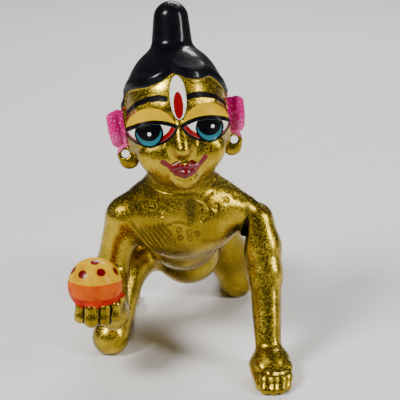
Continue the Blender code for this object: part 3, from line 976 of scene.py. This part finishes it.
# Each coat over the brass, in the order they were painted: its field, colour, second tone,
# roughness and how much clear gloss lies on it.
COATS = (
    ("ear_pink", (0.80, 0.12, 0.36, 1), (0.66, 0.05, 0.24, 1), 0.45, 0.1),
    ("sweet_orange", (0.66, 0.10, 0.0, 1), (0.52, 0.05, 0.0, 1), 0.5, 0.15),
    ("sweet_hem", (0.45, 0.006, 0.0, 1), (0.60, 0.03, 0.0, 1), 0.45, 0.1),
    ("sweet_yellow", (0.72, 0.44, 0.0, 1), (0.66, 0.30, 0.0, 1), 0.5, 0.12),
    ("sweet_dots", (0.18, 0.0, 0.0, 1), (0.13, 0.0, 0.0, 1), 0.4, 0.5),
    ("finger_lines", (0.004, 0.003, 0.002, 1), (0.008, 0.005, 0.003, 1), 0.5, 0.1),
    ("hair", (0.0012, 0.0012, 0.003, 1), (0.003, 0.003, 0.006, 1), 0.4, 0.4),
    ("lid_yellow", (0.74, 0.46, 0.0, 1), (0.68, 0.40, 0.0, 1), 0.5, 0.05),
    ("line_black", (0.0012, 0.001, 0.0012, 1), (0.003, 0.002, 0.002, 1), 0.5, 0.06),
    ("white", (0.92, 0.88, 0.80, 1), (0.84, 0.80, 0.70, 1), 0.45, 0.15),
    ("bright_red", (0.27, 0.0, 0.002, 1), (0.22, 0.0, 0.001, 1), 0.45, 0.15),
    ("iris_black", (0.001, 0.0012, 0.002, 1), (0.003, 0.003, 0.004, 1), 0.45, 0.1),
    ("iris_teal", (0.022, 0.17, 0.21, 1), (0.014, 0.13, 0.16, 1), 0.45, 0.15),
    ("pupil_black", (0.001, 0.001, 0.0015, 1), (0.002, 0.002, 0.003, 1), 0.45, 0.1),
    ("glint_white", (1.0, 1.0, 1.0, 1), (0.95, 0.95, 0.95, 1), 0.45, 0.1),
    ("lip_red", (0.20, 0.0, 0.003, 1), (0.13, 0.0, 0.002, 1), 0.4, 0.9),
)


def dirt_and_shade_share(tree, grain, pits):
    """How much dirt and painted shade hide the brass: patina and painted shade in crevices and hollows,
    dirt in cuts and pits, painted shade in dark patches.
    """
    crevice_patina_and_shade = ramp(tree, field_value(tree, "crevice_patina_and_shade"), 0.55, 1.0, 0, 0.8)
    hollow_patina_and_shade = ramp(tree, field_value(tree, "hollow_patina_and_shade"), 0.88, 1.0, 0, 0.5)
    dirt_and_shade = maths(tree, "ADD", crevice_patina_and_shade, hollow_patina_and_shade)
    dirt_and_shade = maths(tree, "ADD", dirt_and_shade, maths(tree, "MULTIPLY", field_value(tree, "engraved"), 0.4))
    dirt_and_shade = maths(tree, "ADD", dirt_and_shade, ramp(tree, field_value(tree, "painted_shade"), 0.35, 0.9, 0, 0.85))
    dirt_and_shade = maths(tree, "MULTIPLY", dirt_and_shade, ramp(tree, grain, 0.3, 0.6, 0.45, 1))
    dirt_and_shade = maths(tree, "ADD", dirt_and_shade, maths(tree, "MULTIPLY", pits, 0.7))
    return maths(tree, "MINIMUM", dirt_and_shade, 1.0)


def added(tree, height, pattern, metres):
    """The height with a pattern on it that stands this many metres high."""
    return maths(tree, "ADD", height, maths(tree, "MULTIPLY", pattern, metres))


def bare_brass(tree, clouds, mottles, grain):
    """The brass under the paint: its colour, roughness, share of metal and relief."""
    speckled = ramp(tree, field_value(tree, "speckled"), 0.2, 0.9, 0.22, 1)
    pits = maths(tree, "MULTIPLY", ramp(tree, noise(tree, PITS, 3, 0.7), 0.54, 0.66), speckled)
    dirt_and_shade = dirt_and_shade_share(tree, grain, pits)
    colour = mixed_colour(tree, ramp(tree, clouds, 0.35, 0.65), BRASS_DEEP, BRASS_BRIGHT)
    colour = mixed_colour(tree, ramp(tree, mottles, 0.5, 0.75, 0, 0.5), colour, BRASS_DEEP)
    # The brass darkened by dirt, patina and painted shade.
    colour = mixed_colour(tree, dirt_and_shade, colour, DIRT_AND_SHADE)
    rough = mixed(tree, ramp(tree, grain, 0.3, 0.7), 0.17, 0.33)
    rough = mixed(tree, dirt_and_shade, rough, 0.6)
    metal = maths(tree, "MULTIPLY_ADD", dirt_and_shade, -0.7, 1.0)
    height = maths(tree, "MULTIPLY", clouds, 0.0006)
    height = added(tree, height, mottles, 0.00006)
    height = added(tree, height, grain, 0.00004)
    height = added(tree, height, pits, -0.00012)
    return colour, rough, metal, height


def ear_shade(tree, shade):
    """The ears' paint: deep magenta above, flaking to pink below, with glitter in it."""
    flakes = maths(tree, "MULTIPLY_ADD", noise(tree, EAR_FLAKES, 2, 0.6), 16, -8)
    deep = ramp(tree, maths(tree, "ADD", field_value(tree, "ear_deep"), flakes), -0.6, 0.6)
    shade = mixed_colour(tree, deep, shade, EAR_MAGENTA)
    return mixed_colour(tree, ramp(tree, noise(tree, GLITTER, 2), 0.62, 0.68), shade, EAR_GLITTER)


def inside(tree, name, wander=0.0):
    """Whether a place is under a coat: 1 inside its outline and 0 outside."""
    depth = maths(tree, "ADD", field_value(tree, name), wander)
    return ramp(tree, depth, -EDGE_SOFTNESS, EDGE_SOFTNESS)


def enamel_relief(tree, clouds, grain):
    """The paint's own height over the brass, strewn on the hair and rough on the ears."""
    sparkle = ramp(tree, noise(tree, HAIR_SPARKLE, 3, 0.8), 0.5, 0.75)
    sparkle = maths(tree, "MULTIPLY", sparkle, inside(tree, "hair"))
    flakes = maths(tree, "MULTIPLY", noise(tree, EAR_FLAKES, 2, 0.6), inside(tree, "ear_pink"))
    height = maths(tree, "MULTIPLY", grain, 0.00002)
    height = added(tree, height, sparkle, 0.00016)
    height = added(tree, height, clouds, 0.0001)
    height = maths(tree, "ADD", height, 0.0001)
    return added(tree, height, flakes, 0.0004)


def painted_brass():
    """Hand-finished cast brass under enamel, brushed on coat by coat."""
    material = bpy.data.materials.new("painted_brass")
    material.use_nodes = True
    tree = material.node_tree
    tree.nodes.clear()
    wander = maths(tree, "MULTIPLY_ADD", noise(tree, BRUSH_EDGE, 2), EDGE_WANDER, -EDGE_WANDER / 2)
    clouds = noise(tree, CLOUDS, 3)
    mottles = noise(tree, MOTTLES, 4)
    grain = noise(tree, GRAIN, 4, 0.75)
    colour, rough, metal, height = bare_brass(tree, clouds, mottles, grain)
    painted = 0.0
    gloss = 0.0
    for name, coat, second, coat_rough, coat_gloss in COATS:
        share = inside(tree, name, wander)
        shade = mixed_colour(tree, ramp(tree, mottles, 0.4, 0.65), coat, second)
        if name == "ear_pink":
            shade = ear_shade(tree, shade)
        colour = mixed_colour(tree, share, colour, shade)
        rough = mixed(tree, share, rough, coat_rough)
        metal = mixed(tree, share, metal, 0.0)
        gloss = mixed(tree, share, gloss, coat_gloss)
        painted = maths(tree, "MAXIMUM", painted, share)
    height = mixed(tree, painted, height, enamel_relief(tree, clouds, grain))
    bump = add_node(tree, "ShaderNodeBump", {"Strength": 1.0, "Distance": 1.0, "Height": height})
    sockets = {
        "Base Color": colour,
        "Roughness": rough,
        "Metallic": metal,
        "Normal": bump.outputs["Normal"],
        "Coat Weight": gloss,
        "Coat Roughness": 0.16,
        "Coat IOR": 1.45,
        "Specular IOR Level": 0.06,
    }
    shader = add_node(tree, "ShaderNodeBsdfPrincipled", sockets)
    out = add_node(tree, "ShaderNodeOutputMaterial", {"Surface": shader.outputs["BSDF"]})
    out.is_active_output = True
    return material


def make_idol():
    mesh = idol_mesh()
    paint_fields(mesh)
    in_nearest_metres(mesh)
    for polygon in mesh.polygons:
        polygon.use_smooth = True
    mesh.materials.clear()
    mesh.materials.append(painted_brass())
    idol = new_object("painted_idol", mesh)
    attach(idol, "root")
    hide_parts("idol")


# The stage: a pale floor, soft lamps and the photograph's camera.


def plain_material(name, colour, roughness):
    material = bpy.data.materials.new(name)
    material.use_nodes = True
    tree = material.node_tree
    shader = tree.nodes["Principled BSDF"]
    shader.inputs["Base Color"].default_value = colour
    shader.inputs["Roughness"].default_value = roughness
    return material


def make_floor():
    made = bmesh.new()
    bmesh.ops.create_circle(made, cap_ends=True, segments=96, radius=3)
    mesh = bpy.data.meshes.new("floor")
    made.to_mesh(mesh)
    made.free()
    mesh.materials.append(plain_material("pale_floor", (0.86, 0.84, 0.81, 1), 0.7))
    new_object("floor", mesh)


def aimed(obj, place, target):
    obj.location = place
    obj.rotation_euler = (Vector(target) - Vector(place)).to_track_quat("-Z", "Y").to_euler()


def make_lamp(name, place, size, watts):
    lamp = bpy.data.lights.new(name, "AREA")
    lamp.shape = "RECTANGLE"
    lamp.size, lamp.size_y = size
    lamp.energy = watts
    obj = bpy.data.objects.new(name, lamp)
    bpy.context.scene.collection.objects.link(obj)
    aimed(obj, place, (0, 0, 0.05))


def make_camera():
    camera = bpy.data.cameras.new("camera")
    camera.sensor_width = SENSOR_MM
    camera.lens = SENSOR_MM * FOCAL_PIXELS / FRAME_PIXELS
    camera.clip_start = 0.01
    obj = bpy.data.objects.new("camera", camera)
    bpy.context.scene.collection.objects.link(obj)
    back = np.array([0, -math.cos(VIEW_HEIGHT), math.sin(VIEW_HEIGHT)])
    aimed(obj, in_metres(VIEW_TARGET + VIEW_DISTANCE * back), in_metres(VIEW_TARGET))
    bpy.context.scene.camera = obj


def make_stage():
    make_floor()
    world = bpy.data.worlds.new("studio")
    world.use_nodes = True
    world.node_tree.nodes["Background"].inputs["Color"].default_value = (0.9, 0.93, 1, 1)
    world.node_tree.nodes["Background"].inputs["Strength"].default_value = 0.08
    bpy.context.scene.world = world
    make_lamp("key_lamp", (-0.42, -0.34, 0.60), (0.24, 0.20), 6.4)
    make_lamp("side_lamp", (0.50, -0.20, 0.32), (0.08, 0.30), 2.4)
    make_lamp("back_lamp", (0.10, 0.55, 0.50), (0.40, 0.12), 3.4)
    make_camera()


make_idol()
make_stage()
